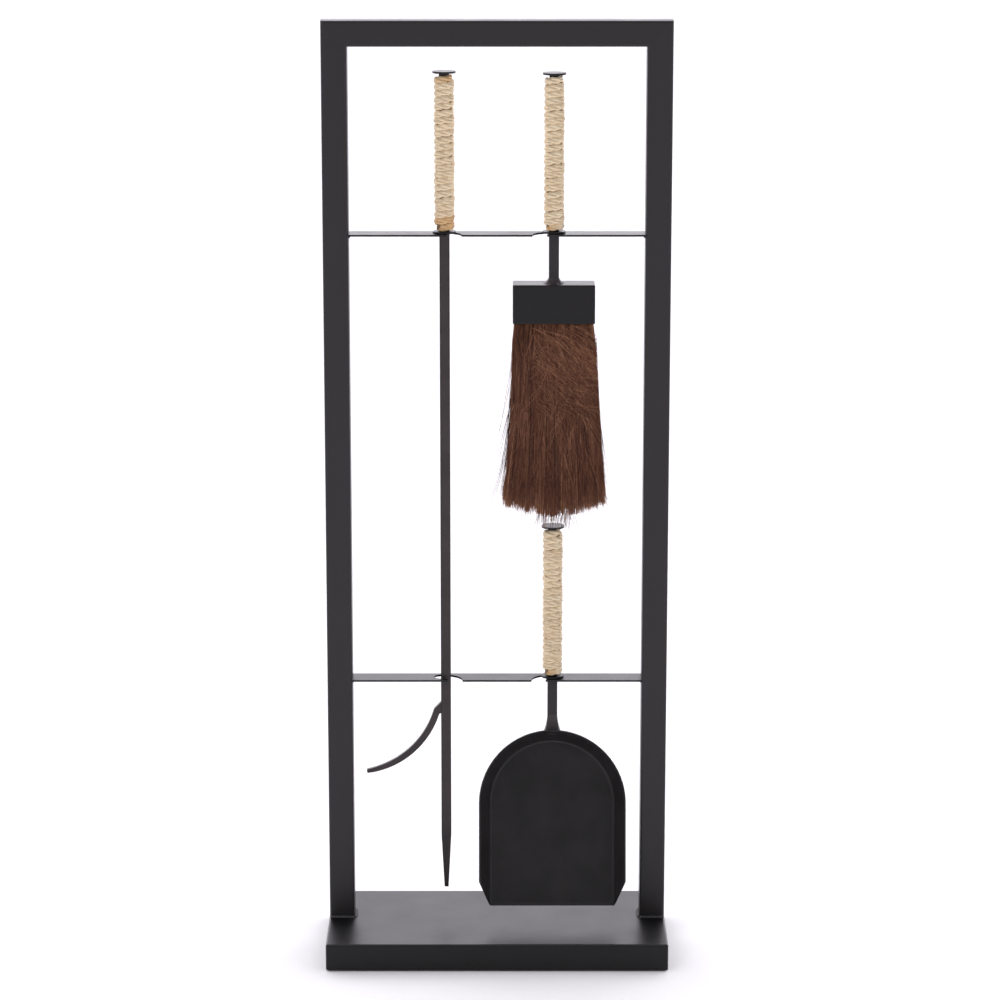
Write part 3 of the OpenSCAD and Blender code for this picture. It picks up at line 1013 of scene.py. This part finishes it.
def add_combed(mesh, head, rng):
    """Hairs that hang straight down the upper left."""
    for _ in range(COMBED_HAIRS):
        x = rng.uniform(-1, -0.1) * head.root_w
        z = head.top - rng.uniform(-1, 60) * MM
        angle = math.radians(rng.gauss(-91, 6))
        turn = math.radians(rng.gauss(0, 10))
        length = rng.uniform(25, 60) * MM
        path = lying_hair(head, (x, z), angle, turn, length, rng.uniform(0.1, 0.9) * MM)
        hair(mesh, path, rng.uniform(0.15, 0.24) * MM, rng.gauss(0.5, 0.18))


def make_swirl(head, rng):
    """The loose hairs that lie on the front of the head."""
    mesh = Mesh()
    add_swirl(mesh, head, rng)
    add_fan(mesh, head, rng)
    add_combed(mesh, head, rng)
    add_bristle_piece(mesh, "bristles_swirl")


def add_side_strays(mesh, head, rng):
    """Single hairs that bow out past the two sides, further on the left."""
    steps = 11
    for _ in range(SIDE_STRAYS):
        side = -1 if rng.random() < 0.60 else 1
        v = rng.uniform(-0.8, 0.8)
        bow = min(0.34, abs(rng.gauss(0, 0.16 if side < 0 else 0.07)) + 0.01)
        fall = rng.uniform(0.55, 1.0)
        begin = rng.uniform(0.0, 0.35)
        path = []
        for i in range(steps + 1):
            s = i / steps
            t = begin + (fall - begin) * s
            height = head.top - t * head.length * 0.97
            u = side * (0.97 + bow * s ** 1.3)
            point = head.place(u, v, t, height)
            point.x += 0.8 * MM * noise.noise(Vector((s * 3, u * 7, v * 5)))
            path.append(point)
        hair(mesh, path, rng.uniform(0.10, 0.17) * MM, rng.gauss(0.35, 0.2))


def add_end_strays(mesh, head, rng):
    """Short ends that splay all round the foot of the head."""
    for _ in range(END_STRAYS):
        u = rng.uniform(-1, 1)
        v = rng.uniform(-1, 1)
        z = head.end_z(u) + rng.uniform(2, 12) * MM
        lean = Vector((rng.gauss(u * 0.35, 0.35), rng.gauss(v * 0.2, 0.3), -1)).normalized()
        start = head.place(u * 0.97, v * 0.97, 0.9, z + 6 * MM)
        hair_end(mesh, start, lean, rng.uniform(5, 15) * MM, head.low.z + 0.3 * MM, rng)


def add_knob_strays(mesh, head, rng):
    """Ends that hang a little lower, in front of the shovel's knob."""
    for _ in range(KNOB_STRAYS):
        u = rng.uniform(-0.35, 0.40)
        lean = Vector((rng.gauss(0, 0.22), rng.uniform(-0.15, 0.05), -1)).normalized()
        start = head.place(u, -0.98, 0.95, head.low.z + 9 * MM)
        hair_end(mesh, start, lean, rng.uniform(10, 20) * MM, head.low.z - 10 * MM, rng)


def make_strays(head, rng):
    """Single hairs that stand away from the two sides and the ends."""
    mesh = Mesh()
    add_side_strays(mesh, head, rng)
    add_end_strays(mesh, head, rng)
    add_knob_strays(mesh, head, rng)
    add_bristle_piece(mesh, "bristles_stray")


def hair_end(mesh, start, lean, length, lowest, rng):
    """A short straight hair end, kept above lowest."""
    path = [start + lean * length * s for s in (0, 0.4, 0.75, 1.0)]
    path = [Vector((p.x, p.y, max(p.z, lowest))) for p in path]
    hair(mesh, path, rng.uniform(0.12, 0.20) * MM, rng.gauss(0.55, 0.2))


# ---------------------------------------------------------------- shovel blade

class Scoop:
    """The scoop, drawn flat: v runs up its floor from the front edge, w runs back through its sheet.

    The walls are depth deep and spread by wall_spread, cut is how far up the front corners are cut
    off, and bend is the radius where a wall meets the floor."""

    tilt = math.radians(12.5)
    sheet = 1.4 * MM
    depth = 13.8 * MM
    wall_spread = 8.4 * MM
    cut = 20.6 * MM
    bend = 3.2 * MM
    floor_shares = (0.93, 0.85, 0.72, 0.58, 0.44, 0.30, 0.16, 0.05)

    def __init__(self):
        low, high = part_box("shovel_blade")
        self.x = (low.x + high.x) / 2
        self.rim_r = (high.x - low.x) / 2
        self.floor_r = self.rim_r - self.wall_spread
        self.edge_z = low.z + self.sheet * math.sin(self.tilt)
        rise = high.z - self.edge_z - self.depth * math.sin(self.tilt)
        self.side = rise / math.cos(self.tilt) - self.rim_r
        back = self.side + self.floor_r + self.sheet / 2
        self.edge_y = high.y - back * math.sin(self.tilt) - self.sheet * math.cos(self.tilt)

    def place(self, x, v, w):
        """A point of the flat drawing in its place."""
        y = self.edge_y + v * math.sin(self.tilt) + w * math.cos(self.tilt)
        z = self.edge_z + v * math.cos(self.tilt) - w * math.sin(self.tilt)
        return Vector((self.x + x, y, z))

    def outline(self, r, w, start, straight, arc):
        """Points from the left front corner, over the round end, to the right front corner."""
        left = [(-r, start + (self.side - start) * i / straight) for i in range(straight)]
        angles = [math.pi * i / arc for i in range(arc + 1)]
        top = [(-r * math.cos(a), self.side + r * math.sin(a)) for a in angles]
        right = [(-x, v) for x, v in reversed(left)]
        return [self.place(x, v, w) for x, v in left + top + right]

    def profile(self):
        """Radius and depth for each row of points, from the rim down the wall and over the floor."""
        wall_rows = 8
        bend_rows = 8
        lean = math.atan2(self.wall_spread, self.depth)
        reach = self.bend * math.tan((math.pi / 2 - lean) / 2)
        wall_end = 1 - reach * math.cos(lean) / self.depth
        rows = []
        for i in range(wall_rows + 1):
            s = wall_end * i / wall_rows
            rows.append((self.rim_r - self.wall_spread * s, -self.depth * (1 - s)))
        heart = self.floor_r - reach
        for i in range(1, bend_rows + 1):
            a = lean + (math.pi / 2 - lean) * i / bend_rows
            rows.append((heart + self.bend * math.cos(a), self.bend * (math.sin(a) - 1)))
        for share in self.floor_shares:
            rows.append((heart * share, 0.0))
        return rows


def make_blade():
    """The pressed scoop, as one sheet that waves a little, most on its floor."""
    scoop = Scoop()
    straight, arc = 26, 80
    rings = []
    for r, w in scoop.profile():
        start = scoop.cut * max(0.0, (r - scoop.floor_r) / scoop.wall_spread)
        ring = scoop.outline(r, w, start, straight, arc)
        for point in ring:
            wave = 0.18 * MM if w == 0.0 else 0.07 * MM
            point.y += wave * noise.noise(Vector((point.x * 20, point.z * 20, 2.0)))
        rings.append(ring)
    rings.append([Vector((scoop.x, p.y, p.z)) for p in rings[-1]])
    mesh = Mesh()
    mesh.grid(rings, closed=False)
    blade = mesh.build("shovel_scoop", [LIT_SCOOP_COAT])
    merge_points(blade, 0.05 * MM)
    solid = blade.modifiers.new("sheet", "SOLIDIFY")
    solid.thickness = scoop.sheet
    solid.offset = 1.0
    solid.use_even_offset = True
    ease_edges(blade, 0.35 * MM, 2, 50)
    stand_for(blade, "shovel_blade")


# ---------------------------------------------------------------- poker hook

class Hook:
    """The hook's curve, in its flat plane: an arc that leaves the shaft by a sloping shoulder.

    start and under are the angles at which its hollow and its outer edge begin, and end is its tip's."""

    radius = 70.7 * MM
    root_w, tip_w = 5.3 * MM, 3.1 * MM
    start, under, end = -15.0, -16.8, -80.3

    def __init__(self):
        low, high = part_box("poker_hook")
        self.shaft = middle("poker_shaft")
        self.root_d = high.y - low.y
        self.tip_d = self.root_d - 2.5 * MM
        self.shaft_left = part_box("poker_shaft")[0].x
        self.top_z = high.z
        self.centre = Vector((self.shaft.x - 75.5 * MM, self.shaft.y, high.z + 11.45 * MM))

    def edge(self, angle, side):
        """A point on the hollow edge, side -1, or on the outer edge, side 1."""
        along = max(0.0, (angle - self.start) / (self.end - self.start))
        half = (self.root_w + (self.tip_w - self.root_w) * along ** 4) / 2
        a = math.radians(angle)
        return self.centre + (self.radius + side * half) * Vector((math.cos(a), 0, math.sin(a)))

    def pairs(self):
        """The two edge points and the depth of each ring, from inside the shaft to the tip."""
        inside = self.shaft_left + 0.5 * MM
        hollow, outer = self.edge(self.start, -1), self.edge(self.under, 1)
        top = Vector((inside, self.shaft.y, self.top_z + 0.4 * MM))
        bottom = Vector((inside, self.shaft.y, outer.z))
        rows = []
        for s in (0, 0.35, 0.7, 0.92):
            rows.append((top.lerp(hollow, s), bottom.lerp(outer, s), self.root_d))
        steps = 56
        for i in range(1, steps + 1):
            s = i / steps
            hollow = self.edge(self.start + (self.end - self.start) * s, -1)
            outer = self.edge(self.under + (self.end - self.under) * s, 1)
            rows.append((hollow, outer, self.root_d + (self.tip_d - self.root_d) * s))
        return rows


def make_hook():
    """The forged hook: a bar with soft corners that leaves the shaft, sweeps out and tapers."""
    hook = Hook()
    around = 40
    squareness = 2 / 6
    rings = []
    for hollow, outer, depth in hook.pairs():
        heart, across = (hollow + outer) / 2, (outer - hollow) / 2
        ring = []
        for j in range(around):
            a = math.tau * (j + 0.5) / around
            x = math.copysign(abs(math.cos(a)) ** squareness, math.cos(a))
            y = math.copysign(abs(math.sin(a)) ** squareness, math.sin(a))
            ring.append(heart + across * x + Vector((0, y * depth / 2, 0)))
        rings.append(ring)
    mesh = Mesh()
    mesh.grid(rings, caps=True)
    piece = mesh.build("poker_hook_forged", [LIT_BAR_COAT])
    ease_edges(piece, 0.3 * MM, 2, 60)
    stand_for(piece, "poker_hook")


# ---------------------------------------------------------------- the scene

make_camera()
make_studio()
make_floor()
finish_frame_nodes()
make_stand_welds()
make_tool_welds()
make_grip("poker_grip_cord", 21, tan_low=1.75, tan_high=0.55)
make_grip("brush_grip_cord", 22, tan_low=0.3, tan_high=0.0)
make_grip("shovel_grip_cord", 23, tan_low=0.3, tan_high=0.0)
make_bristles()
make_blade()
make_hook()
